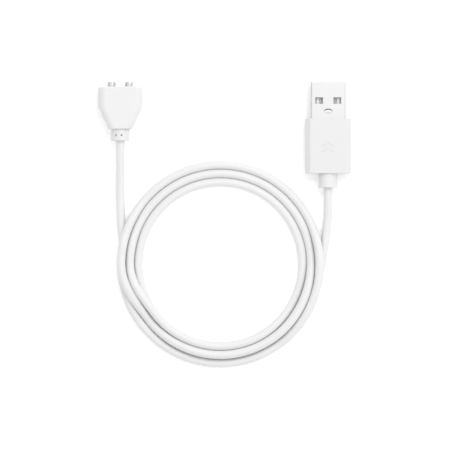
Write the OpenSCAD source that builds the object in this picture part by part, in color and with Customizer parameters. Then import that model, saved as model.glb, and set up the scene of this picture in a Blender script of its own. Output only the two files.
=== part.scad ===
// White charging cable: a USB-A plug at one end, a magnetic head with two sprung posts at the other.
// Millimetres. The head points along +Y and lies on z = 0. The cable lies on the same surface.

/* [Charging head] */
// Width of the head across its straight front part
head_w = 15.1; // [14.6:0.1:16]
// Thickness of the head and of the plug's grip, which sets the height of the cable's exits
body_h = 8; // [7.6:0.1:9]
// Length of the head, from its front face to the cable collar
head_l = 14.5; // [13.5:0.1:16]
// Width of the head where it meets the collar
head_tail_w = 8; // [7:0.1:9]
// Length of the tapered part of the head
head_taper_l = 7.6; // [6:0.1:8]
// Wall thickness of the head's shell
head_wall = 0.9; // [0.8:0.05:1]
// Diameter of the collar that the cable leaves by
collar_d = 6.2; // [5.8:0.1:7]
// Length of the collar
collar_l = 4; // [3:0.1:5]

/* [Contact posts] */
// Distance between the centres of the two posts
post_pitch = 6; // [5.8:0.1:6.2]
// Diameter of a post's free end
post_d = 3; // [2.8:0.05:3.1]
// How far a post stands out of the front face
post_proud = 1.7; // [1.5:0.05:2]
// How far a post can be pushed in against its spring
post_travel = 0.8; // [0.4:0.1:1]
// Diameter of the spring's wire
spring_wire_d = 0.35; // [0.3:0.01:0.4]
// Number of turns in a spring
spring_turns = 6; // [5:1:7]

/* [USB plug] */
// Width of the plug's metal shell
shell_w = 12; // [11.9:0.1:12.1]
// Height of the plug's metal shell
shell_h = 4.5; // [4.4:0.1:4.6]
// Sheet thickness of the metal shell
shell_t = 0.3; // [0.25:0.05:0.35]
// Visible length of the metal shell
shell_l = 12.4; // [11.8:0.1:12.6]
// Width of the moulded grip
grip_w = 15.7; // [15:0.1:17]
// Length of the moulded grip
grip_l = 18.7; // [18:0.1:21]
// Diameter of the short strain relief behind the grip
relief_d = 6.3; // [5.8:0.1:7]
// Length of that strain relief
relief_l = 4.9; // [4:0.1:6]

/* [Cable] */
// Outer diameter of the cable
cable_d = 2.9; // [2.8:0.1:3]
// Outer diameter of an insulated wire inside the cable
wire_d = 0.9; // [0.8:0.05:1]
// Distance between neighbouring strands of the coil
coil_pitch = 2.95; // [2.95:0.05:3.2]
// Number of strands that lie side by side in the coil
coil_strands = 3; // [2:1:4]
// Radius of the coil's outermost strand, to its centre line
coil_r = 33.95; // [33:0.05:35]

/* [Hidden] */

$fn = 48;
hull_fn = 32;
eps = 0.05;
running = 0.05;
mid_z = body_h / 2;

// The head, along Y. Its length with posts and collar is centred on the origin.
head_total = post_proud + head_l + collar_l;
tip_y = head_total / 2;
face_y = tip_y - post_proud;
head_rear_y = face_y - head_l;
taper_y = head_rear_y + head_taper_l;
collar_end_y = head_rear_y - collar_l;
head_round = 2.5;
cavity_w = head_w - 2 * head_wall;
cavity_h = body_h - 2 * head_wall;
cavity_tail_w = head_tail_w - 2 * head_wall;
cavity_round = head_round - head_wall;
cavity_rear_y = head_rear_y + 1.2;
collar_neck_r = 2.2;
collar_flange_r = 2.8;
collar_flange_t = 0.6;
vent_r = 0.3;
vent_xs = [-1.4, 0.5];
vent_y = head_rear_y - 2.1;
vent_floor_z = mid_z + 1.9;
collar_edge = 0.3;

// The sprung contacts
plate_t = 1.2;
plate_back_y = face_y - plate_t;
post_r = post_d / 2;
guide_step = 0.2;
guide_r = post_r + guide_step;
tip_round = 0.45;
lip_l = 0.8;
barrel_front_y = plate_back_y - 0.1;
lip_back_y = barrel_front_y - lip_l;
flange_r = guide_r + 0.2;
flange_l = 0.8;
flange_front_y = lip_back_y - 0.02;
flange_back_y = flange_front_y - flange_l;
stem_r = 0.8;
stem_l = 3.3;
barrel_bore_r = flange_r + running;
barrel_r = barrel_bore_r + 0.2;
barrel_floor_t = 0.4;
stem_clearance = 1.78;
barrel_floor_y = flange_back_y - stem_l - post_travel - stem_clearance;
barrel_rear_y = barrel_floor_y - barrel_floor_t;
tail_r = 0.5;
tail_l = 1;
spring_side_gap = 0.12;
spring_end_gap = 0.05;
spring_mean_r = barrel_bore_r - spring_wire_d / 2 - spring_side_gap;
magnet_r = 2.85;
magnet_l = 4.5;
magnet_front_y = plate_back_y - 0.2;
carrier_l = 3.2;
carrier_front_y = magnet_front_y - magnet_l - 0.1;
inner_fit = 0.1;
inner_round = 2;
wire_spread = 0.6;
wire_straight_l = 0.4;
mold_front_y = carrier_front_y - carrier_l - 0.1;
mold_rear_y = cavity_rear_y + collar_flange_t + 0.1;
solder_r = 0.8;
solder_l = 0.9;
solder_front_y = barrel_rear_y - 0.4;
cable_head_y = cavity_rear_y + 0.5;

// The plug, on its own centre line
plug_x = 71;
shell_tip_y = 9.9;
grip_front_y = shell_tip_y - shell_l;
grip_rear_y = grip_front_y - grip_l;
relief_end_y = grip_rear_y - relief_l;
shell_rear_y = grip_front_y - 6;
shell_corner_r = 0.6;
shell_inner_r = shell_corner_r - shell_t + 0.05;
window = [2.65, 2.25];
window_x = 3.1;
window_front_y = shell_tip_y - 5.15;
dimple_w = 2.8;
dimple_l = 1.65;
dimple_depth = 0.15;
dimple_slot_l = 0.35;
dimple_y = 0.05;
tongue_h = 1.9;
tongue_w = shell_w - 2 * shell_t - 0.1;
tongue_front_y = shell_tip_y - 0.6;
block_front_y = shell_tip_y - 11.9;
inner_gap = 0.02;
inner_floor_z = mid_z - shell_h / 2 + shell_t + inner_gap;
contact_w = 1;
contact_t = 0.25;
contact_z = inner_floor_z + tongue_h - contact_t;
power_contact_x = 3.5;
data_contact_x = 1;
power_front_y = shell_tip_y - 1.5;
data_front_y = shell_tip_y - 2.5;
contact_rear_y = shell_rear_y - 1.7;
chamfer_x = 1.65;
chamfer_z = 1.3;
plug_mold_w = 11.2;
plug_mold_h = 4.4;
plug_mold_round = 1;
plug_solder_r = 0.6;
plug_solder_l = 1.8;
plug_mold_rear_y = grip_rear_y + 3.8;
cable_plug_y = plug_mold_rear_y + 1.9;
crimp_r = cable_d / 2 + 0.4;
crimp_l = 1.5;
crimp_gap = 0.1;
relief_neck_l = 1.7;
relief_neck_r = 2.2;
relief_flare = 0.15;
relief_rim_l = 0.3;
relief_flare_l = 0.9;
chevron_h = 0.15;
chevron_w = 4;
chevron_l = 2.2;
chevron_line = 0.5;
chevron_pitch = 2;
chevron_start_y = grip_front_y - grip_l / 2 - 2.4;

// Free stretches of the cable, as points of its centre line, and the coil's centre
cable_z = cable_d / 2;
coil_centre = [34.2, -52.2];
head_tail_route = [
    [0, -11, mid_z], [0, -15, 3.7], [0, -19, 2.9], [0, -23, 2.1], [0, -28, 1.6],
    [0, -35, cable_z], [0.4, -40.5, cable_z], [1.1, -46.4, cable_z], [1.6, -52.2, cable_z]
];
plug_tail_route = [
    [plug_x, -27, mid_z], [plug_x, -30.5, 3.5], [plug_x, -34, 2.6], [70.8, -38, 1.8],
    [70.4, -42.3, cable_z], [69.7, -47.2, cable_z], [68.8, -52.2, cable_z]
];
stack_h = 2 * cable_d - 0.3;

// Unit vector, and the direction of a route at one of its points
function unit(v) = v / norm(v);
function heading(route, i) = unit(route[min(i + 1, len(route) - 1)] - route[max(i - 1, 0)]);

// The corner points of a swept tube around one point of its route
function tube_ring(route, i, r, sides) =
    let (t = heading(route, i), s = unit(cross(t, [0, 0, 1])), u = cross(s, t))
    [for (k = [0 : sides - 1]) route[i] + r * (cos(360 * k / sides) * s + sin(360 * k / sides) * u)];

// A round tube swept along a route
module tube(route, r, sides = 8) {
    last = (len(route) - 1) * sides;
    points = [for (i = [0 : len(route) - 1]) each tube_ring(route, i, r, sides)];
    walls = [
        for (i = [0 : len(route) - 2], k = [0 : sides - 1])
            let (a = i * sides + k, b = i * sides + (k + 1) % sides)
            [a, b, b + sides, a + sides]
    ];
    start = [for (k = [sides - 1 : -1 : 0]) k];
    end = [for (k = [0 : sides - 1]) last + k];
    polyhedron(points, concat([start], walls, [end]));
}

// A rectangle with rounded corners, centred
module rounded_rect(w, h, r, fn = $fn) {
    square([w - 2 * r, h], center = true);
    square([w, h - 2 * r], center = true);
    for (x = [-1, 1], z = [-1, 1])
        translate([x * (w / 2 - r), z * (h / 2 - r)]) circle(r, $fn = fn);
}

// A prism along Y between two planes, with a rounded rectangle as its section
module slab(rear_y, front_y, w, h, r, x = 0, fn = $fn) {
    translate([x, front_y, mid_z]) rotate([90, 0, 0])
        linear_extrude(front_y - rear_y) rounded_rect(w, h, r, fn);
}

// A round rod along Y between two planes
module rod(rear_y, front_y, r, x = 0) {
    translate([x, front_y, mid_z]) rotate([90, 0, 0]) cylinder(front_y - rear_y, r, r);
}

// A body turned about Y, from a profile of [radius, y] points
module turned(profile, x = 0) {
    translate([x, 0, mid_z]) rotate([-90, 0, 0]) rotate_extrude() polygon(profile);
}

// A straight part followed by a taper to the rear, as the head and its cavity have
module tapered(front_y, start_y, rear_y, w, tail_w, h, r) {
    hull() {
        slab(start_y, front_y, w, h, r, fn = hull_fn);
        slab(rear_y, rear_y + 0.1, tail_w, h, r, fn = hull_fn);
    }
}

// Moulded outer shell of the head, open at the front
module head_shell() {
    color("white") difference() {
        tapered(face_y, taper_y, head_rear_y, head_w, head_tail_w, body_h, head_round);
        tapered(face_y + 1, taper_y, cavity_rear_y, cavity_w, cavity_tail_w, cavity_h, cavity_round);
        rod(head_rear_y - 1, cavity_rear_y + 1, collar_neck_r);
    }
}

// Insulating plate that closes the front of the head and guides both posts
module contact_plate() {
    color("whitesmoke") difference() {
        slab(plate_back_y, face_y, cavity_w - inner_fit, cavity_h - inner_fit, cavity_round - inner_fit / 2);
        for (side = [-1, 1])
            rod(plate_back_y - 1, face_y + 1, guide_r + running, side * post_pitch / 2);
    }
}

// Block that holds the rear ends of both barrels at their pitch
module contact_carrier() {
    back_y = carrier_front_y - carrier_l;
    color("ivory") difference() {
        intersection() {
            slab(back_y, carrier_front_y, cavity_w - inner_fit, cavity_h - inner_fit, inner_round);
            tapered(face_y, taper_y, cavity_rear_y, cavity_w - 3 * inner_fit,
                    cavity_tail_w - 3 * inner_fit, cavity_h - inner_fit, inner_round);
        }
        for (side = [-1, 1])
            rod(back_y - 1, carrier_front_y + 1, barrel_r, side * post_pitch / 2);
    }
}

// Sprung post: a round tip, a guided shank, a flange that the barrel's lip retains, and a stem
module plunger(side) {
    color("silver") turned([
        [0, flange_back_y - stem_l], [stem_r, flange_back_y - stem_l], [stem_r, flange_back_y],
        [flange_r, flange_back_y], [flange_r, flange_front_y], [guide_r, flange_front_y],
        [guide_r, face_y], [post_r, face_y], [post_r, tip_y - tip_round],
        for (a = [15 : 15 : 75])
            [post_r - tip_round + tip_round * cos(a), tip_y - tip_round + tip_round * sin(a)],
        [post_r - tip_round, tip_y], [0, tip_y]
    ], side * post_pitch / 2);
}

module plunger_left() { plunger(-1); }
module plunger_right() { plunger(1); }

// Turned tube that a post slides in, with a lip in front, a floor behind and a solder tail
module barrel(side) {
    color("gold") turned([
        [0, barrel_rear_y - tail_l], [tail_r, barrel_rear_y - tail_l], [tail_r, barrel_rear_y],
        [barrel_r, barrel_rear_y], [barrel_r, barrel_front_y], [guide_r + running, barrel_front_y],
        [guide_r + running, lip_back_y], [barrel_bore_r, lip_back_y], [barrel_bore_r, barrel_floor_y],
        [0, barrel_floor_y]
    ], side * post_pitch / 2);
}

module barrel_left() { barrel(-1); }
module barrel_right() { barrel(1); }

// Compression spring between a barrel's floor and its post's flange
module contact_spring(side) {
    low = barrel_floor_y + spring_wire_d / 2 + spring_end_gap;
    high = flange_back_y - spring_wire_d / 2 - spring_end_gap;
    steps = spring_turns * 12;
    turn_step = 360 / 12;
    helix = [
        for (i = [0 : steps])
            [spring_mean_r * cos(turn_step * i), spring_mean_r * sin(turn_step * i), (high - low) * i / steps]
    ];
    color("lightgray") translate([side * post_pitch / 2, low, mid_z])
        rotate([-90, 0, 0]) tube(helix, spring_wire_d / 2, 6);
}

module spring_left() { contact_spring(-1); }
module spring_right() { contact_spring(1); }

// Ring magnet around a barrel, close behind the contact plate
module magnet(side) {
    color("gray") difference() {
        rod(magnet_front_y - magnet_l, magnet_front_y, magnet_r, side * post_pitch / 2);
        rod(magnet_front_y - magnet_l - 1, magnet_front_y + 1, barrel_r + running, side * post_pitch / 2);
    }
}

module magnet_left() { magnet(-1); }
module magnet_right() { magnet(1); }

// Soft block cast around the solder joints and wires behind the carrier
module head_inner_mold() {
    share = (taper_y - mold_front_y) / (taper_y - cavity_rear_y);
    front_w = cavity_w - share * (cavity_w - cavity_tail_w) - 3 * inner_fit;
    rear_share = (taper_y - mold_rear_y) / (taper_y - cavity_rear_y);
    rear_w = cavity_w - rear_share * (cavity_w - cavity_tail_w) - 3 * inner_fit;
    color("linen") difference() {
        hull() {
            slab(mold_front_y - 0.1, mold_front_y, front_w, cavity_h - inner_fit, inner_round, fn = hull_fn);
            slab(mold_rear_y, mold_rear_y + 0.1, rear_w, cavity_h - inner_fit, inner_round, fn = hull_fn);
        }
        for (side = [-1, 1])
            rod(solder_front_y - solder_l, mold_front_y + 1, solder_r + inner_fit, side * post_pitch / 2);
    }
}

// Solder around the two barrel tails
module head_solder_joints() {
    color("silver")
        for (side = [-1, 1]) difference() {
            rod(solder_front_y - solder_l, solder_front_y, solder_r, side * post_pitch / 2);
            rod(barrel_rear_y - tail_l, solder_front_y + 1, tail_r, side * post_pitch / 2);
        }
}

// Insulated wire from a barrel's solder joint to the end of the cable
module head_wire(side) {
    start_x = side * post_pitch / 2;
    start_y = solder_front_y - solder_l;
    end_x = side * wire_spread;
    tube([
        [start_x, start_y, mid_z], [start_x, start_y - wire_straight_l, mid_z],
        [(start_x + end_x) / 2, (start_y + cable_head_y) / 2, mid_z],
        [end_x, cable_head_y + wire_straight_l, mid_z], [end_x, cable_head_y, mid_z]
    ], wire_d / 2);
}

module head_wire_red() { color("red") head_wire(-1); }
module head_wire_black() { color("dimgray") head_wire(1); }

// Collar that the cable leaves the head by: it is held by a flange inside the shell
module head_strain_relief() {
    bore_r = cable_d / 2;
    collar_r = collar_d / 2;
    color("white") difference() {
        turned([
            [bore_r, collar_end_y], [collar_r - collar_edge, collar_end_y],
            [collar_r, collar_end_y + collar_edge], [collar_r, head_rear_y],
            [collar_neck_r, head_rear_y], [collar_neck_r, cavity_rear_y],
            [collar_flange_r, cavity_rear_y], [collar_flange_r, cavity_rear_y + collar_flange_t],
            [bore_r, cavity_rear_y + collar_flange_t]
        ]);
        for (x = vent_xs)
            translate([x, vent_y, vent_floor_z]) cylinder(body_h, vent_r, vent_r);
    }
}

// Cable from the head down to the surface and in under the coil
module cable_head_tail() {
    color("white") tube(concat([[0, cable_head_y, mid_z]], head_tail_route), cable_d / 2);
}

// Outer shape of the coil's section: strands side by side, in one or two layers
module coil_section(height) {
    r = cable_d / 2;
    outer = coil_r;
    inner = coil_r - (coil_strands - 1) * coil_pitch;
    translate([inner, 0]) square([outer - inner, height]);
    if (height > cable_d) translate([inner - r, r]) square([outer - inner + cable_d, height - cable_d]);
    for (x = [inner, outer], y = [r, height - r]) translate([x, y]) circle(r);
}

// The whole coil: a hidden strand runs under its lower half, which therefore stands higher
module cable_coil() {
    color("white") translate([coil_centre[0], coil_centre[1], 0]) {
        rotate_extrude(angle = 180, $fn = 96) coil_section(cable_d);
        rotate([0, 0, 180]) rotate_extrude(angle = 180, $fn = 96) coil_section(stack_h);
    }
}

// Cable from under the coil up to the plug
module cable_plug_tail() {
    color("white") tube(concat([[plug_x, cable_plug_y, mid_z]], plug_tail_route), cable_d / 2);
}

// The lens-shaped outline of the lanced dimple
module lens(w, l) {
    r = (w * w / 4 + l * l / 4) / l;
    intersection() {
        translate([0, r - l / 2]) circle(r);
        translate([0, l / 2 - r]) circle(r);
    }
}

// The crescent along the front edge of the dimple, where the sheet is cut through
module lanced_slot() {
    difference() {
        lens(dimple_w, dimple_l);
        translate([0, -dimple_slot_l]) lens(dimple_w, dimple_l);
    }
}

// Formed sheet-metal shell of the plug: two windows above and two below, and a lanced dimple
module plug_shell() {
    top_z = mid_z + shell_h / 2;
    color("gainsboro") difference() {
        slab(shell_rear_y, shell_tip_y, shell_w, shell_h, shell_corner_r, plug_x);
        slab(shell_rear_y - 1, shell_tip_y + 1, shell_w - 2 * shell_t, shell_h - 2 * shell_t,
             shell_inner_r, plug_x);
        for (side = [-1, 1])
            translate([plug_x + side * window_x - window[0] / 2, window_front_y - window[1], -eps])
                cube([window[0], window[1], body_h]);
        translate([plug_x, dimple_y, top_z - dimple_depth]) linear_extrude(1) lens(dimple_w, dimple_l);
        translate([plug_x, dimple_y, top_z - shell_t - eps]) linear_extrude(1) lanced_slot();
    }
}

// Plastic tongue and rear block inside the shell, grooved for the contacts
module plug_insulator() {
    inner_h = shell_h - 2 * shell_t - 2 * inner_gap;
    color("white") difference() {
        intersection() {
            slab(shell_rear_y, tongue_front_y, tongue_w, inner_h, shell_inner_r, plug_x);
            translate([plug_x - tongue_w / 2, shell_rear_y, inner_floor_z]) union() {
                cube([tongue_w, tongue_front_y - shell_rear_y, tongue_h]);
                cube([tongue_w, block_front_y - shell_rear_y, inner_h]);
            }
        }
        for (x = [-power_contact_x, power_contact_x])
            contact_space(x, power_front_y);
        for (x = [-data_contact_x, data_contact_x])
            contact_space(x, data_front_y);
    }
}

// The groove of one contact in the insulator
module contact_space(x, front_y) {
    translate([plug_x + x - contact_w / 2, shell_rear_y - 1, contact_z])
        cube([contact_w, front_y - shell_rear_y + 1, contact_t + 0.01]);
}

// Flat contact strip, from its exposed front end to its solder end behind the insulator
module contact_strip(x, front_y) {
    color("silver") translate([plug_x + x - contact_w / 2, contact_rear_y, contact_z])
        cube([contact_w, front_y - contact_rear_y, contact_t]);
}

module contact_vbus() { contact_strip(-power_contact_x, power_front_y); }
module contact_d_minus() { contact_strip(-data_contact_x, data_front_y); }
module contact_d_plus() { contact_strip(data_contact_x, data_front_y); }
module contact_gnd() { contact_strip(power_contact_x, power_front_y); }

// Stiff block cast around the wires behind the metal shell
module plug_inner_mold() {
    color("linen") difference() {
        slab(plug_mold_rear_y, shell_rear_y, plug_mold_w, plug_mold_h, plug_mold_round, plug_x);
        rod(plug_mold_rear_y - 1, cable_plug_y, cable_d / 2, plug_x);
        rod(cable_plug_y - crimp_l - crimp_gap, cable_plug_y - crimp_gap, crimp_r, plug_x);
    }
}

// Solder that joins the two wires to the ends of the power contacts
module plug_solder_joints() {
    front_y = contact_rear_y + plug_solder_l / 2;
    color("silver")
        for (side = [-1, 1])
            translate([plug_x + side * power_contact_x, front_y, contact_z + contact_t])
                rotate([90, 0, 0]) intersection() {
                    cylinder(plug_solder_l, plug_solder_r, plug_solder_r);
                    translate([-1, 0, -1]) cube([2, 2, 4]);
                }
}

// Insulated wire from a power contact's solder joint to the end of the cable
module plug_wire(side) {
    start_x = plug_x + side * power_contact_x;
    end_x = plug_x + side * wire_spread;
    wire_z = contact_z + contact_t + wire_d / 2;
    start_y = contact_rear_y - plug_solder_l / 2;
    tube([
        [start_x, start_y, wire_z], [start_x, start_y - 2 * wire_straight_l, wire_z],
        [(start_x + end_x) / 2, (start_y + cable_plug_y) / 2, mid_z + 0.2],
        [end_x, cable_plug_y + 2 * wire_straight_l, mid_z], [end_x, cable_plug_y, mid_z]
    ], wire_d / 2);
}

module plug_wire_red() { color("red") plug_wire(-1); }
module plug_wire_black() { color("dimgray") plug_wire(1); }

// Metal ring crimped on the end of the cable, which keeps it from pulling out
module plug_cable_crimp() {
    color("silver") difference() {
        rod(cable_plug_y - crimp_l - crimp_gap, cable_plug_y - crimp_gap, crimp_r, plug_x);
        rod(cable_plug_y - crimp_l - 1, cable_plug_y + 1, cable_d / 2, plug_x);
    }
}

// One raised chevron that points towards the plug's tip
module chevron() {
    linear_extrude(chevron_h + eps) polygon([
        [-chevron_w / 2, 0], [0, chevron_l - chevron_line], [chevron_w / 2, 0],
        [chevron_w / 2, chevron_line], [0, chevron_l], [-chevron_w / 2, chevron_line]
    ]);
}

// Moulded grip around the rear of the metal shell, with chamfered long edges
module plug_overmold() {
    half_w = grip_w / 2;
    half_h = body_h / 2;
    color("whitesmoke") {
        difference() {
            translate([plug_x, grip_front_y, mid_z]) rotate([90, 0, 0]) linear_extrude(grip_l)
                polygon([
                    [-half_w, -half_h + chamfer_z], [-half_w + chamfer_x, -half_h],
                    [half_w - chamfer_x, -half_h], [half_w, -half_h + chamfer_z],
                    [half_w, half_h - chamfer_z], [half_w - chamfer_x, half_h],
                    [-half_w + chamfer_x, half_h], [-half_w, half_h - chamfer_z]
                ]);
            slab(shell_rear_y, grip_front_y + 1, shell_w, shell_h, shell_corner_r, plug_x);
            slab(plug_mold_rear_y, shell_rear_y, plug_mold_w, plug_mold_h, plug_mold_round, plug_x);
            rod(grip_rear_y - 1, plug_mold_rear_y + 1, cable_d / 2, plug_x);
            rod(grip_rear_y - 1, grip_rear_y + relief_neck_l, relief_neck_r, plug_x);
        }
        for (i = [0, 1])
            translate([plug_x, chevron_start_y + i * chevron_pitch, body_h - eps]) chevron();
    }
}

// Short strain relief behind the grip, with a slight flare at its end and a neck inside the grip
module plug_strain_relief() {
    r = relief_d / 2;
    color("white") turned([
        [cable_d / 2, relief_end_y], [r + relief_flare, relief_end_y],
        [r + relief_flare, relief_end_y + relief_rim_l], [r, relief_end_y + relief_flare_l],
        [r, grip_rear_y], [relief_neck_r, grip_rear_y], [relief_neck_r, grip_rear_y + relief_neck_l],
        [cable_d / 2, grip_rear_y + relief_neck_l]
    ], plug_x);
}

head_shell();
contact_plate();
contact_carrier();
plunger_left();
plunger_right();
barrel_left();
barrel_right();
spring_left();
spring_right();
magnet_left();
magnet_right();
head_inner_mold();
head_solder_joints();
head_wire_red();
head_wire_black();
head_strain_relief();
cable_head_tail();
cable_coil();
cable_plug_tail();
plug_shell();
plug_insulator();
contact_vbus();
contact_d_minus();
contact_d_plus();
contact_gnd();
plug_inner_mold();
plug_solder_joints();
plug_wire_red();
plug_wire_black();
plug_cable_crimp();
plug_overmold();
plug_strain_relief();
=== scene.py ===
import math

import bmesh
import bpy
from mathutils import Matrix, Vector


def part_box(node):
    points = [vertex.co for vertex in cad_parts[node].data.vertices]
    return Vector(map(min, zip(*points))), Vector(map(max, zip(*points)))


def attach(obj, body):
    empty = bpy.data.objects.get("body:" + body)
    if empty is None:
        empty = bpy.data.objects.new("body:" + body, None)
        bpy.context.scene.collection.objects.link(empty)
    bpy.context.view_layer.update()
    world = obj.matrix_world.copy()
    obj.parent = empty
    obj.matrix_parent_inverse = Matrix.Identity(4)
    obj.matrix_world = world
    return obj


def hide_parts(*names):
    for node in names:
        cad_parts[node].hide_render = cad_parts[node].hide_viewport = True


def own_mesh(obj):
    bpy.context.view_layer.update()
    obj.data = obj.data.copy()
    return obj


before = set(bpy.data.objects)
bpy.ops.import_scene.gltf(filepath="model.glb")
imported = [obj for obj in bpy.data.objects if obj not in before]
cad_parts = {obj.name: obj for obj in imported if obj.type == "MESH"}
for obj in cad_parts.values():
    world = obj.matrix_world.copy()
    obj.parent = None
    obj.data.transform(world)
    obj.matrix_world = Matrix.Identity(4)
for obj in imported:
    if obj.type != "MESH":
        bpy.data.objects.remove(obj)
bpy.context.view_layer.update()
bpy.ops.object.select_all(action="DESELECT")
scene = bpy.context.scene
scene.view_settings.view_transform = "Standard"

MM = 0.001


# ---- Camera -------------------------------------------------------------------------------
# The cable lies flat and is looked at from straight above. A long lens far away keeps the
# view almost parallel. The view's middle lies between the head, the plug and the coil.
VIEW_WIDTH = 153.9 * MM
LENS = 360.0
SENSOR = 36.0
VIEW_MIDDLE = Vector((35.6 * MM, -38.85 * MM, 3 * MM))

camera_data = bpy.data.cameras.new("camera")
camera_data.lens = LENS
camera_data.sensor_width = SENSOR
camera_data.clip_start = 0.01
camera = bpy.data.objects.new("camera", camera_data)
camera.location = VIEW_MIDDLE + Vector((0, 0, VIEW_WIDTH * LENS / SENSOR))
scene.collection.objects.link(camera)
scene.camera = camera


# ---- Cable --------------------------------------------------------------------------------
# One round cable with a soft white vinyl jacket over two wires. It comes down from the head,
# runs in under the coil, makes three and a half turns, and leaves under the coil to the plug.
CABLE_D = 2.9 * MM
STRAND_PITCH = 2.95 * MM
SURFACE_Z = CABLE_D / 2
COIL_MIDDLE = Vector((34.2 * MM, -52.2 * MM))
COIL_R = 33.95 * MM
HIDDEN_R = 29.5 * MM
LEAVING_R = 34.6 * MM
TURN = 360
TURN_STEP = 3
SEEN_TURNS = 3 * TURN
COIL_END = 3.5 * TURN
LEAVES_BEFORE_END = 70
JOG = 36
SHIFT = 40
HUMP = 12 * MM
OTHER_STRAND = 100 * MM

HEAD_ROUTE = [
    (0, -4.4, 4), (0, -11, 4), (0, -15, 3.7), (0, -19, 2.9), (0, -23, 2.1), (0, -28, 1.6),
    (0, -35, 1.45), (0.4, -40.5, 1.45), (1.1, -46.4, 1.45),
]
PLUG_ROUTE = [
    (69.7, -47.2, 1.45), (70.4, -42.3, 1.45), (70.8, -38, 1.8), (71, -34, 2.6),
    (71, -30.5, 3.5), (71, -27, 4), (71, -15.5, 4),
]


def eased(x):
    """Goes from 0 to 1 with a level start and end."""
    x = min(max(x, 0.0), 1.0)
    return x * x * (3 - 2 * x)


def coil_radius(turned_by):
    """How far the cable lies from the coil's middle after so many degrees from the left side."""
    steps_in = sum(eased((turned_by - start) / JOG) for start in (TURN, 2 * TURN))
    inner = COIL_R - STRAND_PITCH * steps_in
    settled = (HIDDEN_R - inner) * eased((turned_by - SEEN_TURNS - JOG) / SHIFT)
    leaving = max(turned_by - COIL_END + LEAVES_BEFORE_END, 0) / LEAVES_BEFORE_END
    return inner + settled + (LEAVING_R - HIDDEN_R) * leaving ** 1.5


def coil_point(turned_by):
    angle = math.radians(180 + turned_by)
    radius = coil_radius(turned_by)
    return Vector((COIL_MIDDLE.x + radius * math.cos(angle),
                   COIL_MIDDLE.y + radius * math.sin(angle), SURFACE_Z))


route = [Vector(p) * MM for p in HEAD_ROUTE]
lies_on_surface = [True] * len(route)
for turned_by in range(0, int(COIL_END) + 1, TURN_STEP):
    route.append(coil_point(turned_by))
    lies_on_surface.append(turned_by <= JOG or turned_by >= SEEN_TURNS)
route += [Vector(p) * MM for p in PLUG_ROUTE]
lies_on_surface += [True] * len(PLUG_ROUTE)

along = [0.0]
for before, after in zip(route, route[1:]):
    along.append(along[-1] + (after - before).length)

# A strand that crosses one on the surface is lifted just clear of it, in a long low hump.
lifts = []
for i, point in enumerate(route):
    lift = 0.0
    if not lies_on_surface[i]:
        for j, other in enumerate(route):
            apart = (point - other).to_2d().length
            far_along = abs(along[i] - along[j]) > OTHER_STRAND
            if lies_on_surface[j] and far_along and apart < STRAND_PITCH:
                lift = max(lift, math.sqrt(STRAND_PITCH ** 2 - apart ** 2))
    lifts.append(lift)
for i, point in enumerate(route):
    if not lies_on_surface[i]:
        point.z += max(
            lift * math.cos(math.pi / 2 * min(abs(along[i] - along[j]) / HUMP, 1)) ** 2
            for j, lift in enumerate(lifts)
        )

cable_line = bpy.data.curves.new("cable", "CURVE")
cable_line.dimensions = "3D"
cable_line.bevel_depth = CABLE_D / 2
cable_line.bevel_resolution = 7
cable_line.resolution_u = 3
cable_line.use_fill_caps = True
spline = cable_line.splines.new("NURBS")
spline.points.add(len(route) - 1)
for point, place in zip(spline.points, route):
    point.co = (*place, 1)
spline.order_u = 4
spline.use_endpoint_u = True
cable = bpy.data.objects.new("cable", cable_line)
scene.collection.objects.link(cable)


class Value:
    """A socket of a finish, with its maths written as Python expressions."""

    def __init__(self, finish, socket):
        self.finish, self.socket = finish, socket

    def maths(self, operation, first, second):
        return self.finish.node("ShaderNodeMath", {"operation": operation}, {0: first, 1: second})

    def __add__(self, other):
        return self.maths("ADD", self, other)

    def __mul__(self, other):
        return self.maths("MULTIPLY", self, other)


class Finish:
    """A procedural material, or the studio's sky, whose nodes all come from one method."""

    def __init__(self, name, holder=None, coordinates="Object"):
        self.holder = holder or bpy.data.materials.new(name)
        self.holder.use_nodes = True
        self.tree = self.holder.node_tree
        self.tree.nodes.clear()
        self.place = self.node("ShaderNodeTexCoord", out=coordinates)

    def node(self, kind, settings=None, sockets=None, out=0):
        node = self.tree.nodes.new(kind)
        for key, value in (settings or {}).items():
            if key == "stops":
                ramp = node.color_ramp
                for k, (position, shade) in enumerate(value):
                    stop = ramp.elements[k] if k < 2 else ramp.elements.new(position)
                    stop.position, stop.color = position, (shade, shade, shade, 1)
            else:
                setattr(node, key, value)
        for key, value in (sockets or {}).items():
            if isinstance(value, Value):
                self.tree.links.new(value.socket, node.inputs[key])
            else:
                node.inputs[key].default_value = value
        return Value(self, node.outputs[out]) if node.outputs else None

    def noise(self, size, detail=2.0, place=None):
        """Noise from 0 to 1 whose features are about `size` metres across."""
        return self.node(
            "ShaderNodeTexNoise", None,
            {"Vector": place or self.place, "Scale": 1 / size, "Detail": detail}, "Fac",
        )

    def stretched(self, x, y, z):
        """The piece's own coordinates, stretched along each axis by these factors."""
        return self.node("ShaderNodeMapping", None,
                         {"Vector": self.place, "Scale": (1 / x, 1 / y, 1 / z)})

    def tint(self, share, first, second):
        return self.node(
            "ShaderNodeMix", {"data_type": "RGBA"},
            {0: share, 6: (*first, 1), 7: (*second, 1)}, 2,
        )

    def bump(self, height, depth, strength):
        return self.node("ShaderNodeBump", None,
                         {"Height": height, "Distance": depth, "Strength": strength})

    def surface(self, **sockets):
        named = {key.replace("_", " "): value for key, value in sockets.items()}
        shader = self.node("ShaderNodeBsdfPrincipled", None, named)
        self.node("ShaderNodeOutputMaterial", None, {"Surface": shader})
        return self.holder


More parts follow.
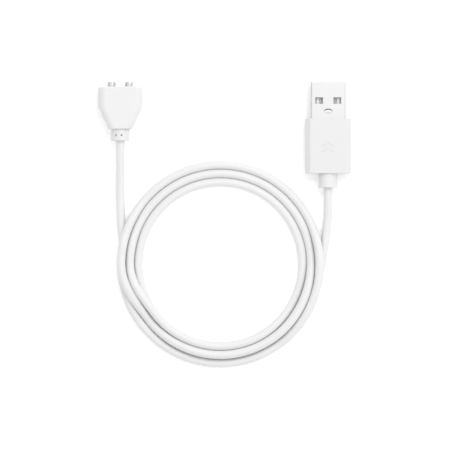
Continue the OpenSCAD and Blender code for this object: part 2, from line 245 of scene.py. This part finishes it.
def vinyl(name, shade, roughness, grain):
    """Soft white vinyl: faint cloudiness, a fine moulded grain and a satin gloss."""
    finish = Finish(name)
    clouds = finish.noise(6 * MM, 3)
    fine = finish.noise(grain, 2)
    darker = tuple(0.955 * part for part in shade)
    return finish.surface(
        Base_Color=finish.tint(clouds * 0.6 + fine * 0.3, shade, darker),
        Roughness=fine * 0.12 + roughness,
        Normal=finish.bump(fine, 0.012 * MM, 0.5),
        IOR=1.45,
    )


def settle(piece, material, body, slot, *nodes):
    """Gives a piece its finish and its body, and hides the plain nodes it stands for."""
    piece.data.materials.clear()
    piece.data.materials.append(material)
    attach(piece, body)
    if nodes:
        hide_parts(*nodes)
    return piece


settle(cable, vinyl("cable_jacket", (0.76, 0.76, 0.765), 0.36, 0.35 * MM), "cable", "white_cable",
       "cable_head_tail", "cable_coil", "cable_plug_tail")


# ---- Floor and lights ---------------------------------------------------------------------
# A lit white table, one large soft lamp high up to the right and beyond the head, and a pale
# room that is brightest overhead and darker low down, so that metal and rounded edges show.
TABLE_SIZE = 3.0
TABLE_GLOW = 0.18
TABLE_Z = -0.04 * MM
LAMP_SIZE = 0.26
LAMP_AWAY = 0.7
LAMP_POWER = 1.15
LAMP_SIDE = Vector((0.28, 0.50, 1.0)).normalized()
ROOM_TOP = Vector((0.24, 0.15, 1.0)).normalized()
ROOM_LEVEL = 1.30

bpy.ops.mesh.primitive_grid_add(x_subdivisions=2, y_subdivisions=2, size=TABLE_SIZE,
                                location=(VIEW_MIDDLE.x, VIEW_MIDDLE.y, TABLE_Z))
table = bpy.context.object
table.name = "table"
bpy.ops.object.transform_apply(location=True, rotation=True, scale=True)
table_top = Finish("table_top")
table.data.materials.append(table_top.surface(
    Base_Color=table_top.tint(table_top.noise(0.2), (0.90, 0.90, 0.90), (0.93, 0.93, 0.93)),
    Roughness=0.9, Emission_Color=(1, 1, 1, 1), Emission_Strength=TABLE_GLOW,
))

lamp_data = bpy.data.lights.new("lamp", "AREA")
lamp_data.size = LAMP_SIZE
lamp_data.energy = LAMP_POWER
lamp = bpy.data.objects.new("lamp", lamp_data)
lamp.location = VIEW_MIDDLE + LAMP_SIDE * LAMP_AWAY
lamp.rotation_euler = LAMP_SIDE.to_track_quat("Z", "Y").to_euler()
scene.collection.objects.link(lamp)

room = Finish("room", bpy.data.worlds.new("room"), "Generated")
facing = room.node("ShaderNodeVectorMath", {"operation": "DOT_PRODUCT"},
                   {0: room.place, 1: ROOM_TOP}, "Value")
glow = room.node("ShaderNodeValToRGB",
                 {"stops": [(0.40, 0.40), (0.60, 0.54), (0.80, 0.80), (0.97, 0.88)]},
                 {"Fac": facing * 0.5 + 0.5})
room.node("ShaderNodeOutputWorld", None, {"Surface": room.node(
    "ShaderNodeBackground", None, {"Color": glow, "Strength": ROOM_LEVEL})})
scene.world = room.holder


# ---- Head shell ---------------------------------------------------------------------------
# The white moulded cup of the charging head: straight in front, tapered to the collar behind,
# hollow and open in front. All its inner pieces go in from the front, before the plate.
HEAD_ROUND = 2.5 * MM
HEAD_TAIL_W = 8 * MM
HEAD_WALL = 0.9 * MM
HEAD_FRONT_EDGE = 0.8 * MM
HEAD_REAR_EDGE = 0.3 * MM
HEAD_TAPER_L = 7.6 * MM
HEAD_FLOOR_T = 1.2 * MM
NEAR = 0.01 * MM
# Sizes of turned profiles are in plain millimetres, and so is how far a cutter passes an end.
NECK_R = 2.2
NECK_HOLE_L = 2
AXIS_Z = 4.0
PAST_END = 1


def block(name, low, high):
    """A box between two corners, to be shaped further."""
    low, high = Vector(low), Vector(high)
    bpy.ops.object.select_all(action="DESELECT")
    bpy.ops.mesh.primitive_cube_add(size=1, location=(low + high) / 2, scale=high - low)
    piece = bpy.context.object
    piece.name = piece.data.name = name
    bpy.ops.object.transform_apply(location=True, rotation=True, scale=True)
    return piece


def pick(kind, wanted):
    """In edit mode, selects only the corners, edges or faces whose middle and points suit."""
    bpy.ops.mesh.select_mode(type=kind)
    bpy.ops.mesh.select_all(action="DESELECT")
    mesh = bmesh.from_edit_mesh(bpy.context.object.data)
    for part in {"VERT": mesh.verts, "EDGE": mesh.edges, "FACE": mesh.faces}[kind]:
        points = [part.co] if kind == "VERT" else [v.co for v in part.verts]
        if all(wanted(point) for point in points):
            part.select_set(True)
    mesh.select_flush_mode()
    bmesh.update_edit_mesh(bpy.context.object.data)


def pick_long_edges():
    """In edit mode, selects the edges that run from front to rear."""
    bpy.ops.mesh.select_mode(type="EDGE")
    bpy.ops.mesh.select_all(action="DESELECT")
    mesh = bmesh.from_edit_mesh(bpy.context.object.data)
    for edge in mesh.edges:
        ends = [v.co for v in edge.verts]
        edge.select_set(abs(ends[0].y - ends[1].y) > NEAR)
    bmesh.update_edit_mesh(bpy.context.object.data)


def bevel(offset, segments):
    bpy.ops.mesh.bevel(offset_type="OFFSET", offset=offset, segments=segments,
                       affect="EDGES", clamp_overlap=False)


def edit(mode):
    bpy.ops.object.mode_set(mode=mode)


def modify(piece, kind, **settings):
    """Adds a modifier to a piece and applies it."""
    bpy.ops.object.select_all(action="DESELECT")
    bpy.context.view_layer.objects.active = piece
    piece.select_set(True)
    modifier = piece.modifiers.new(kind, kind)
    for key, value in settings.items():
        setattr(modifier, key, value)
    bpy.ops.object.modifier_apply(modifier=modifier.name)


def volume(piece):
    mesh = bmesh.new()
    mesh.from_mesh(piece.data)
    enclosed = mesh.calc_volume()
    mesh.free()
    return enclosed


def carve(piece, *tools, operation="DIFFERENCE"):
    """Cuts tools out of a piece, or joins them to it, and removes the tools."""
    for tool in tools:
        before = volume(piece)
        modify(piece, "BOOLEAN", operation=operation, object=tool, solver="EXACT")
        if abs(volume(piece) - before) < NEAR ** 3:
            raise RuntimeError(tool.name + " changed nothing on " + piece.name)
        bpy.data.objects.remove(tool)


def smooth(piece, degrees=30):
    """Shades a finished piece smooth, with flat faces kept flat beside rounded edges."""
    bpy.ops.object.select_all(action="DESELECT")
    bpy.context.view_layer.objects.active = piece
    piece.select_set(True)
    edit("EDIT")
    bpy.ops.mesh.select_all(action="SELECT")
    bpy.ops.mesh.remove_doubles(threshold=0.0005 * MM)
    bpy.ops.mesh.normals_make_consistent(inside=False)
    edit("OBJECT")
    bpy.ops.object.shade_smooth_by_angle(angle=math.radians(degrees))
    modify(piece, "WEIGHTED_NORMAL", keep_sharp=True)


def turned(name, profile, x=0.0, steps=64):
    """A body turned about Y from (radius, y) points in millimetres, at the cable ends' height."""
    bpy.ops.object.select_all(action="DESELECT")
    bpy.ops.mesh.primitive_plane_add(size=MM, location=(0, 0, 0))
    piece = bpy.context.object
    piece.name = piece.data.name = name
    edit("EDIT")
    bpy.ops.mesh.select_mode(type="VERT")
    bpy.ops.mesh.select_all(action="SELECT")
    bpy.ops.mesh.merge(type="CENTER")
    first = Vector((x + profile[0][0], profile[0][1], AXIS_Z)) * MM
    bpy.ops.transform.translate(value=first)
    for before, after in zip(profile, profile[1:]):
        step = Vector((after[0] - before[0], after[1] - before[1], 0)) * MM
        bpy.ops.mesh.extrude_vertices_move(TRANSFORM_OT_translate={"value": step})
    bpy.ops.mesh.select_all(action="SELECT")
    bpy.ops.mesh.spin(steps=steps, angle=2 * math.pi, center=Vector((x, 0, AXIS_Z)) * MM,
                      axis=(0, 1, 0))
    bpy.ops.mesh.select_all(action="SELECT")
    bpy.ops.mesh.remove_doubles(threshold=0.001 * MM)
    bpy.ops.mesh.normals_make_consistent(inside=False)
    edit("OBJECT")
    return piece


head_low, head_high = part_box("head_shell")
HEAD_MIDDLE_Z = (head_low.z + head_high.z) / 2
taper_y = head_low.y + HEAD_TAPER_L

head_shell = block("charging_head_shell", head_low, head_high)
edit("EDIT")
bpy.ops.mesh.select_all(action="SELECT")
bpy.ops.mesh.bisect(plane_co=(0, taper_y, 0), plane_no=(0, 1, 0))
pick("VERT", lambda p: abs(p.y - head_low.y) < NEAR)
bpy.ops.transform.resize(value=(HEAD_TAIL_W / (head_high.x - head_low.x), 1, 1),
                         center_override=(0, 0, 0))
pick_long_edges()
bevel(HEAD_ROUND, 10)
pick("EDGE", lambda p: abs(p.y - head_high.y) < NEAR)
bevel(HEAD_FRONT_EDGE, 6)
pick("EDGE", lambda p: abs(p.y - head_low.y) < NEAR)
bevel(HEAD_REAR_EDGE, 4)
pick("FACE", lambda p: abs(p.y - head_high.y) < NEAR)
bpy.ops.mesh.inset(thickness=HEAD_WALL - HEAD_FRONT_EDGE)
bpy.ops.mesh.extrude_region_move(TRANSFORM_OT_translate={"value": (0, taper_y - head_high.y, 0)})
bpy.ops.mesh.extrude_region_move(
    TRANSFORM_OT_translate={"value": (0, head_low.y + HEAD_FLOOR_T - taper_y, 0)})
cavity_w = head_high.x - head_low.x - 2 * HEAD_WALL
bpy.ops.transform.resize(value=((HEAD_TAIL_W - 2 * HEAD_WALL) / cavity_w, 1, 1),
                         center_override=(0, 0, 0))
edit("OBJECT")
head_rear = head_low.y / MM
carve(head_shell, turned("neck_hole", [
    (0, head_rear - PAST_END), (NECK_R, head_rear - PAST_END),
    (NECK_R, head_rear + NECK_HOLE_L), (0, head_rear + NECK_HOLE_L)]))
smooth(head_shell)
settle(head_shell, vinyl("head_plastic", (0.75, 0.75, 0.755), 0.40, 0.22 * MM), "cable",
       "white_shell", "head_shell")


# ---- Contact plate ------------------------------------------------------------------------
# A small flat moulding pressed into the front of the shell. The two posts come out through it,
# and its edge and both holes have a small chamfer.
PLATE_ROUND = 1.55 * MM
PLATE_HOLE_R = 1.75
PLATE_EDGE = 0.12 * MM
POST_SIDES = {"left": -3.0, "right": 3.0}

plate_low, plate_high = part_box("contact_plate")
plate = block("contact_face_plate", plate_low, plate_high)
edit("EDIT")
pick_long_edges()
bevel(PLATE_ROUND, 8)
edit("OBJECT")
plate_rear, plate_front = plate_low.y / MM - PAST_END, plate_high.y / MM + PAST_END
carve(plate, *[turned("post_hole", [(0, plate_rear), (PLATE_HOLE_R, plate_rear),
                                    (PLATE_HOLE_R, plate_front), (0, plate_front)], x, steps=48)
               for x in POST_SIDES.values()])
modify(plate, "BEVEL", width=PLATE_EDGE, segments=2, limit_method="ANGLE",
       angle_limit=math.radians(50))
smooth(plate)
settle(plate, vinyl("plate_plastic", (0.72, 0.72, 0.725), 0.42, 0.2 * MM), "cable",
       "white_shell", "contact_plate")


# ---- Contact posts ------------------------------------------------------------------------
# Two turned and plated brass posts. The rounded end touches the device, the wider shank runs in
# the barrel, a flange keeps the post in, and a stem behind it guides the spring.
POST_R = 1.5
POST_END_ROUND = 0.45
SHANK_R = 1.7
FLANGE_R = 1.9
STEM_R = 0.8
STEM_ROUND = 0.15
FLANGE_FRONT = 6.28
FLANGE_BACK = 5.48


def arc(radius, y, size, start, end, steps=6):
    """Profile points round a corner of that size, between two angles in degrees."""
    angles = [math.radians(start + (end - start) * i / steps) for i in range(steps + 1)]
    return [(radius + size * math.cos(a), y + size * math.sin(a)) for a in angles]


def plating(name, shade, roughness, marks):
    """Bright plated metal with fine marks across its length, as turning leaves them."""
    finish = Finish(name)
    rings = finish.noise(1 * MM, 2, finish.stretched(1, marks, 1))
    cloud = finish.noise(1.2 * MM, 2)
    darker = tuple(0.88 * part for part in shade)
    return finish.surface(
        Base_Color=finish.tint(cloud, shade, darker), Metallic=1.0,
        Roughness=cloud * 0.08 + roughness,
        Normal=finish.bump(rings, 0.002 * MM, 0.4),
    )


chrome = plating("post_plating", (0.70, 0.70, 0.71), 0.13, 0.08)
for side, x in POST_SIDES.items():
    post_low, post_high = (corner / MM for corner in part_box("plunger_" + side))
    face_y = plate_high.y / MM
    post = turned("contact_post_" + side, [
        (0, post_low.y), *arc(STEM_R - STEM_ROUND, post_low.y + STEM_ROUND, STEM_ROUND, -90, 0, 3),
        (STEM_R, FLANGE_BACK), (FLANGE_R, FLANGE_BACK), (FLANGE_R, FLANGE_FRONT),
        (SHANK_R, FLANGE_FRONT), (SHANK_R, face_y), (POST_R, face_y),
        *arc(POST_R - POST_END_ROUND, post_high.y - POST_END_ROUND, POST_END_ROUND, 0, 90, 8),
        (0, post_high.y)], x)
    smooth(post)
    settle(post, chrome, side + "_post", "post_metal", "plunger_" + side)


# ---- Contact springs ----------------------------------------------------------------------
# One compression spring of bright drawn wire behind each post, between the barrel's floor and
# the post's flange.
SPRING_TURNS = 6
SPRING_STEPS = 24
SPRING_WIRE_D = 0.35 * MM
SPRING_MEAN_R = 1.655 * MM
SPRING_FLOOR = -0.4 * MM
SPRING_SEAT = 0.225 * MM


def strand(name, points, radius, sides=4):
    """A round strand of wire along a line of points, as a closed mesh."""
    line = bpy.data.curves.new(name, "CURVE")
    line.dimensions = "3D"
    line.bevel_depth, line.bevel_resolution, line.use_fill_caps = radius, sides, True
    line.resolution_u = 4
    run = line.splines.new("NURBS")
    run.points.add(len(points) - 1)
    for point, place in zip(run.points, points):
        point.co = (*place, 1)
    run.order_u, run.use_endpoint_u = 3, True
    piece = bpy.data.objects.new(name, line)
    scene.collection.objects.link(piece)
    bpy.ops.object.select_all(action="DESELECT")
    bpy.context.view_layer.objects.active = piece
    piece.select_set(True)
    bpy.ops.object.convert(target="MESH")
    piece = bpy.context.object
    smooth(piece, 50)
    return piece


spring_wire = plating("spring_wire", (0.62, 0.62, 0.64), 0.22, 0.3)
flange_y = FLANGE_BACK * MM
for side, post_x in POST_SIDES.items():
    x = post_x * MM
    low_y, high_y = SPRING_FLOOR + SPRING_SEAT, flange_y - SPRING_SEAT
    count = SPRING_TURNS * SPRING_STEPS
    helix = [Vector((x + SPRING_MEAN_R * math.cos(2 * math.pi * i / SPRING_STEPS),
                     low_y + (high_y - low_y) * i / count,
                     HEAD_MIDDLE_Z + SPRING_MEAN_R * math.sin(2 * math.pi * i / SPRING_STEPS)))
             for i in range(count + 1)]
    spring = strand("contact_spring_" + side, helix, SPRING_WIRE_D / 2)
    settle(spring, spring_wire, "cable", "spring_steel", "spring_" + side)
    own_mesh(spring)


# ---- Inside the head ----------------------------------------------------------------------
# Gold-plated barrels in a moulded carrier, a nickel-plated ring magnet round each, and behind
# them soldered wires, potted in a soft block that fills the tail of the shell.
WIRE_R = 0.45 * MM
WIRE_COLOURS = {"red": (0.55, 0.05, 0.04), "black": (0.03, 0.03, 0.03)}
WIRE_SIDES = {"red": -1, "black": 1}


def paint(material, *nodes):
    """Gives nodes whose shape is already right a finish of their own."""
    for name in nodes:
        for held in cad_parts[name].material_slots:
            held.material = material


def wire_between(end, colour, points):
    """A thin insulated wire inside one end of the cable, along its own short route."""
    node = end + "_wire_" + colour
    name = node + "_sheath"
    finish = Finish(name)
    grain = finish.noise(0.3 * MM, 2)
    shade = WIRE_COLOURS[colour]
    sheath = finish.surface(
        Base_Color=finish.tint(grain * 0.5, shade, tuple(0.7 * part for part in shade)),
        Roughness=grain * 0.1 + 0.36, Normal=finish.bump(grain, 0.004 * MM, 0.4))
    piece = strand(name, [Vector(point) * MM for point in points], WIRE_R, 3)
    return settle(piece, sheath, "cable", "wire_" + colour, node)


gold = plating("gold_plating", (0.86, 0.66, 0.30), 0.20, 0.15)
paint(gold, "barrel_left", "barrel_right")
paint(plating("magnet_nickel", (0.66, 0.66, 0.65), 0.24, 0.6), "magnet_left", "magnet_right")
carrier_plastic = vinyl("carrier_plastic", (0.80, 0.80, 0.77), 0.45, 0.3 * MM)
paint(carrier_plastic, "contact_carrier")
potting = vinyl("potting", (0.76, 0.74, 0.66), 0.34, 0.8 * MM)
paint(potting, "head_inner_mold", "plug_inner_mold")
solder = plating("solder", (0.72, 0.72, 0.71), 0.30, 1.5)
paint(solder, "head_solder_joints", "plug_solder_joints")
for colour, side in WIRE_SIDES.items():
    wire_between("head", colour, [
        (side * 3, -2.1, 4), (side * 3, -2.5, 4), (side * 1.8, -3.25, 4),
        (side * 0.6, -4.0, 4), (side * 0.6, -4.4, 4)])


# ---- Collar -------------------------------------------------------------------------------
# Soft moulded collar that the cable leaves the head by. A flange inside the shell holds it, and
# two small vents come up through its top.
COLLAR_EDGE = 0.35
COLLAR_GAP = 0.12
COLLAR_FLANGE_R = 2.8
VENT_R = 0.3
VENT_XS = (-1.4, 0.5)
VENT_L = 4
VENT_BEHIND_HEAD = 2.1
VENT_ABOVE_CABLE = 1.9
CABLE_R = CABLE_D / MM / 2

collar_low, collar_high = (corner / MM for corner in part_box("head_strain_relief"))
collar_r = collar_high.x
flange_rear = head_rear + HEAD_FLOOR_T / MM
collar = turned("head_cable_collar", [
    (CABLE_R, collar_low.y), *arc(collar_r - COLLAR_EDGE, collar_low.y + COLLAR_EDGE,
                                  COLLAR_EDGE, -90, 0),
    *arc(collar_r - COLLAR_GAP, head_rear - COLLAR_GAP, COLLAR_GAP, 0, 90, 4),
    (NECK_R, head_rear), (NECK_R, flange_rear), (COLLAR_FLANGE_R, flange_rear),
    (COLLAR_FLANGE_R, collar_high.y), (CABLE_R, collar_high.y), (CABLE_R, collar_low.y)])
for vent_x in VENT_XS:
    bpy.ops.object.select_all(action="DESELECT")
    bpy.ops.mesh.primitive_cylinder_add(
        vertices=24, radius=VENT_R * MM, depth=VENT_L * MM,
        location=(vent_x * MM, (head_rear - VENT_BEHIND_HEAD) * MM,
                  HEAD_MIDDLE_Z + (VENT_ABOVE_CABLE + VENT_L / 2) * MM))
    carve(collar, bpy.context.object)
smooth(collar)
relief_vinyl = vinyl("relief_vinyl", (0.74, 0.74, 0.745), 0.44, 0.3 * MM)
settle(collar, relief_vinyl, "cable", "white_relief", "head_strain_relief")


# ---- Plug shell ---------------------------------------------------------------------------
# Nickel-plated sheet steel, folded into a flat tube with a seam below. Two windows above and
# two below take the socket's catches, and a lanced dimple above keeps the insulator in.
PLUG_X = 71
SHEET_T = 0.3 * MM
SHELL_ROUND = 0.6 * MM
INSIDE_ROUND = SHELL_ROUND - SHEET_T + 0.05 * MM
SHELL_EDGE = 0.06 * MM
WINDOW_W = 2.65 * MM
WINDOW_L = 2.25 * MM
WINDOW_X = 3.1 * MM
WINDOW_FROM_TIP = 5.15 * MM
WINDOW_CUT_FLOOR = -1 * MM
WINDOW_CUT_TOP = 9 * MM
DIMPLE = Vector((1.4, 0.82)) * MM
DIMPLE_DEPTH = 0.15 * MM
DIMPLE_SLOPE = 0.18
DIMPLE_FROM_TIP = 9.85 * MM
LANCED_L = 0.35 * MM
SEAM_W = 0.08 * MM


def flat_prism(name, low, high, corner, segments=6):
    """A box with rounded long edges."""
    piece = block(name, low, high)
    edit("EDIT")
    pick_long_edges()
    bevel(corner, segments)
    edit("OBJECT")
    return piece


shell_low, shell_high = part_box("plug_shell")
sheet = Vector((SHEET_T, 0, SHEET_T))
past_ends = Vector((0, PAST_END * MM, 0))
tip_y = shell_high.y
plug_shell = flat_prism("plug_metal_shell", shell_low, shell_high, SHELL_ROUND)
carve(plug_shell, flat_prism("shell_inside", shell_low + sheet - past_ends,
                             shell_high - sheet + past_ends, INSIDE_ROUND))
for side in (-1, 1):
    x = PLUG_X * MM + side * WINDOW_X
    carve(plug_shell, block(
        "window", (x - WINDOW_W / 2, tip_y - WINDOW_FROM_TIP - WINDOW_L, WINDOW_CUT_FLOOR),
        (x + WINDOW_W / 2, tip_y - WINDOW_FROM_TIP, WINDOW_CUT_TOP)))


def oval(name, y, height, z, slope=0.0):
    """An upright oval prism with the dimple's outline, which narrows downwards if it slopes."""
    bpy.ops.object.select_all(action="DESELECT")
    bpy.ops.mesh.primitive_cone_add(
        vertices=64, radius1=1 - slope, radius2=1 + slope, depth=1,
        scale=(DIMPLE.x, DIMPLE.y, height), location=(PLUG_X * MM, y, z))
    piece = bpy.context.object
    piece.name = name
    bpy.ops.object.transform_apply(location=True, rotation=True, scale=True)
    return piece


dimple_y = tip_y - DIMPLE_FROM_TIP
sheet_z = shell_high.z - SHEET_T / 2
carve(plug_shell, oval("dimple", dimple_y, 2 * DIMPLE_DEPTH, shell_high.z, DIMPLE_SLOPE))
slot_cutter = oval("dimple_front", dimple_y, 2 * SHEET_T, sheet_z)
carve(slot_cutter, oval("dimple_tab", dimple_y - LANCED_L, 4 * SHEET_T, sheet_z))
carve(plug_shell, slot_cutter)
carve(plug_shell, block(
    "seam", (PLUG_X * MM - SEAM_W / 2, shell_low.y - PAST_END * MM, shell_low.z - PAST_END * MM),
    (PLUG_X * MM + SEAM_W / 2, tip_y + PAST_END * MM, shell_low.z + SHEET_T / 2)))
modify(plug_shell, "BEVEL", width=SHELL_EDGE, segments=2, limit_method="ANGLE",
       angle_limit=math.radians(50), use_clamp_overlap=True)
smooth(plug_shell, 35)

shell_finish = Finish("shell_nickel")
speckle = shell_finish.noise(0.22 * MM, 3)
rolling = shell_finish.noise(0.3 * MM, 2, shell_finish.stretched(1, 12, 1))
settle(plug_shell, shell_finish.surface(
    Base_Color=shell_finish.tint(speckle, (0.78, 0.78, 0.78), (0.62, 0.62, 0.63)),
    Metallic=1.0, Roughness=speckle * 0.12 + rolling * 0.06 + 0.16,
    Normal=shell_finish.bump(speckle, 0.004 * MM, 0.5),
), "cable", "shell_metal", "plug_shell")


# ---- Insulator and contacts ---------------------------------------------------------------
# A white moulded tongue fills the lower half of the shell. Four pale plated strips lie in its
# grooves: the outer two carry power and reach further forward than the inner two.
CONTACT_EDGE = 0.08 * MM

pale_nickel = plating("contact_nickel", (0.72, 0.72, 0.71), 0.38, 0.2)
paint(vinyl("tongue_plastic", (0.80, 0.80, 0.79), 0.42, 0.25 * MM), "plug_insulator")
for pin in ("vbus", "d_minus", "d_plus", "gnd"):
    strip = block("plug_contact_" + pin, *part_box("contact_" + pin))
    modify(strip, "BEVEL", width=CONTACT_EDGE, segments=3, limit_method="ANGLE",
           angle_limit=math.radians(40))
    smooth(strip)
    settle(strip, pale_nickel, "cable", "contact_plating", "contact_" + pin)


# ---- Inside the grip ----------------------------------------------------------------------
# Two wires run from the cable's end to the power contacts, with a crimped steel ring round the
# cable. A stiff block is cast round them before the grip is moulded on.
paint(plating("crimp_steel", (0.62, 0.62, 0.63), 0.32, 0.5), "plug_cable_crimp")
contact_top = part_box("contact_vbus")[1].z / MM
for colour, side in WIRE_SIDES.items():
    far_x, near_x = PLUG_X + side * 3.5, PLUG_X + side * 0.6
    wire_z = contact_top + WIRE_R / MM
    wire_between("plug", colour, [
        (far_x, -11.1, wire_z), (far_x, -11.9, wire_z),
        ((far_x + near_x) / 2, -13.3, 4.2), (near_x, -14.7, 4), (near_x, -15.5, 4)])


# ---- Grip ---------------------------------------------------------------------------------
# The satin white moulding that the plug is held by, cast over the shell and the inner block. Its
# long edges are chamfered, and two fine raised chevrons on top show which side is up.
CHAMFER_X = 1.65 * MM
CHAMFER_Z = 1.3 * MM
GRIP_END = 0.2 * MM
MOLD_W = 11.2 * MM
MOLD_H = 4.4 * MM
MOLD_ROUND = 1 * MM
BORE_REAR = -22
BORE_STEP = -19.5
BORE_FRONT = -17
CHEVRON_W = 4 * MM
CHEVRON_L = 2.2 * MM
CHEVRON_LINE = 0.5 * MM
CHEVRON_H = 0.15 * MM
CHEVRON_PITCH = 2 * MM
CHEVRON_BEHIND_MIDDLE = 2.4 * MM
CHEVRON_ROOT = 0.1 * MM
CHEVRON_EDGE = 0.05 * MM

grip_low, grip_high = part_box("plug_overmold")
grip_high.z -= CHEVRON_H
grip_middle_z = (grip_low.z + grip_high.z) / 2
mold_low, mold_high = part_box("plug_inner_mold")
grip = block("plug_grip", grip_low, grip_high)
edit("EDIT")
pick_long_edges()
bevel(CHAMFER_Z, 1)
half_w = (grip_high.x - grip_low.x) / 2
pick("VERT", lambda p: min(abs(p.z - grip_low.z), abs(p.z - grip_high.z)) < NEAR)
bpy.ops.transform.resize(value=((half_w - CHAMFER_X) / (half_w - CHAMFER_Z), 1, 1),
                         center_override=(PLUG_X * MM, 0, 0))
for end in (grip_low.y, grip_high.y):
    pick("EDGE", lambda p: abs(p.y - end) < NEAR)
    bevel(GRIP_END, 3)
edit("OBJECT")
carve(grip, flat_prism("shell_pocket", shell_low, shell_high + past_ends, SHELL_ROUND),
      flat_prism("block_pocket",
                 (PLUG_X * MM - MOLD_W / 2, mold_low.y, grip_middle_z - MOLD_H / 2),
                 (PLUG_X * MM + MOLD_W / 2, mold_high.y + NEAR, grip_middle_z + MOLD_H / 2),
                 MOLD_ROUND),
      turned("cable_bore", [(0, BORE_REAR), (NECK_R, BORE_REAR), (NECK_R, BORE_STEP),
                            (CABLE_R, BORE_STEP), (CABLE_R, BORE_FRONT), (0, BORE_FRONT)],
             PLUG_X))
chevron_start = (grip_low.y + grip_high.y) / 2 - CHEVRON_BEHIND_MIDDLE
for i in range(2):
    rear = chevron_start + i * CHEVRON_PITCH
    mark = block("chevron", (PLUG_X * MM - CHEVRON_W / 2, rear, grip_high.z - CHEVRON_ROOT),
                 (PLUG_X * MM + CHEVRON_W / 2, rear + CHEVRON_LINE, grip_high.z + CHEVRON_H))
    edit("EDIT")
    bpy.ops.mesh.select_all(action="SELECT")
    bpy.ops.mesh.bisect(plane_co=(PLUG_X * MM, 0, 0), plane_no=(1, 0, 0))
    pick("VERT", lambda p: abs(p.x - PLUG_X * MM) < NEAR)
    bpy.ops.transform.translate(value=(0, CHEVRON_L - CHEVRON_LINE, 0))
    edit("OBJECT")
    modify(mark, "BEVEL", width=CHEVRON_EDGE, segments=2, limit_method="ANGLE",
           angle_limit=math.radians(60))
    carve(grip, mark, operation="UNION")
smooth(grip, 25)
settle(grip, vinyl("grip_vinyl", (0.72, 0.72, 0.725), 0.42, 0.25 * MM), "cable", "white_grip",
       "plug_overmold")


# ---- Plug strain relief -------------------------------------------------------------------
# Short soft sleeve moulded round the cable behind the grip. Its neck is locked inside the grip,
# and its free end flares a little and has a rounded lip.
LIP = 0.22
FLARE = 0.15
FLARE_L = 0.9

relief_low, relief_high = (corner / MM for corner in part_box("plug_strain_relief"))
grip_rear = grip_low.y / MM
relief_r = (relief_high.x - relief_low.x) / 2
relief = turned("plug_cable_relief", [
    (CABLE_R, relief_low.y), *arc(relief_r - LIP, relief_low.y + LIP, LIP, -90, 0, 5),
    (relief_r - FLARE, relief_low.y + FLARE_L), (relief_r - FLARE, grip_rear),
    (NECK_R, grip_rear), (NECK_R, relief_high.y), (CABLE_R, relief_high.y),
    (CABLE_R, relief_low.y)], PLUG_X)
smooth(relief)
settle(relief, relief_vinyl, "cable", "white_relief", "plug_strain_relief")
